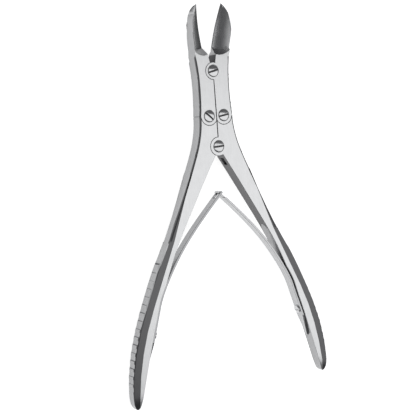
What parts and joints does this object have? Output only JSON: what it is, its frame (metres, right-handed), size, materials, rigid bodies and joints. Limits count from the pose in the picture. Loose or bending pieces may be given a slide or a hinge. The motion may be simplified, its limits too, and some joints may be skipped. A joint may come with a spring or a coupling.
{
  "type": "bone cutting forceps",
  "caption": "Double-action bone cutting forceps: jaws curved on the flat, box joints with slotted screws, serrated grips and linked leaf springs that hold it open.",
  "frame": {"origin": "under the middle of the open forceps, on the plane that the back faces rest on", "axes": "+Y along the instrument towards the blade tips, +Z out of the front face, +X to the right of the front view"},
  "size_m": [0.1096, 0.1845, 0.0078],
  "materials": {
    "satin_steel": "satin stainless steel",
    "polished_steel": "polished stainless steel",
    "spring_steel": "ground spring steel"
  },
  "bodies": {
    "left_handle": {"left_handle": "satin_steel", "left_spring_screw": "polished_steel"},
    "right_handle": {"right_handle": "satin_steel", "handle_pivot_screw": "polished_steel", "right_spring_screw": "polished_steel"},
    "left_jaw": {"left_jaw": "satin_steel", "left_link_screw": "polished_steel"},
    "right_jaw": {"right_jaw": "satin_steel", "jaw_pivot_screw": "polished_steel", "right_link_screw": "polished_steel"},
    "left_spring": {"left_leaf_spring": "spring_steel"},
    "right_spring": {"right_leaf_spring": "spring_steel"}
  },
  "joints": [
    {"name": "handle_pivot", "type": "hinge", "parent": "left_handle", "child": "right_handle", "pos_m": [0, 0.0254, 0.0036], "axis": [0, 0, -1], "range_deg": [0, 33.4], "stiffness_Nm_per_rad": 1.5, "springref_deg": -5.73},
    {"name": "left_link", "type": "hinge", "parent": "left_handle", "child": "left_jaw", "pos_m": [-0.0039, 0.0399, 0.0036], "axis": [0, 0, -1], "range_deg": [0, 27.9]},
    {"name": "right_link", "type": "hinge", "parent": "right_handle", "child": "right_jaw", "pos_m": [0.0039, 0.0399, 0.0036], "axis": [0, 0, 1], "range_deg": [0, 27.9]},
    {"name": "left_spring_flex", "type": "hinge", "parent": "left_handle", "child": "left_spring", "pos_m": [-0.04014, -0.05916, 0.0036], "axis": [0, 0, 1], "range_deg": [0, 4.8], "deforming": ["left_leaf_spring"]},
    {"name": "right_spring_flex", "type": "hinge", "parent": "right_handle", "child": "right_spring", "pos_m": [0.04014, -0.05916, 0.0036], "axis": [0, 0, -1], "range_deg": [0, 4.8], "deforming": ["right_leaf_spring"]}
  ],
  "couplings": [
    {"joint": "left_link", "follows": "handle_pivot", "ratio": 0.8353},
    {"joint": "right_link", "follows": "handle_pivot", "ratio": 0.8353},
    {"joint": "left_spring_flex", "follows": "handle_pivot", "ratio": 0.142},
    {"joint": "right_spring_flex", "follows": "handle_pivot", "ratio": 0.142}
  ]
}
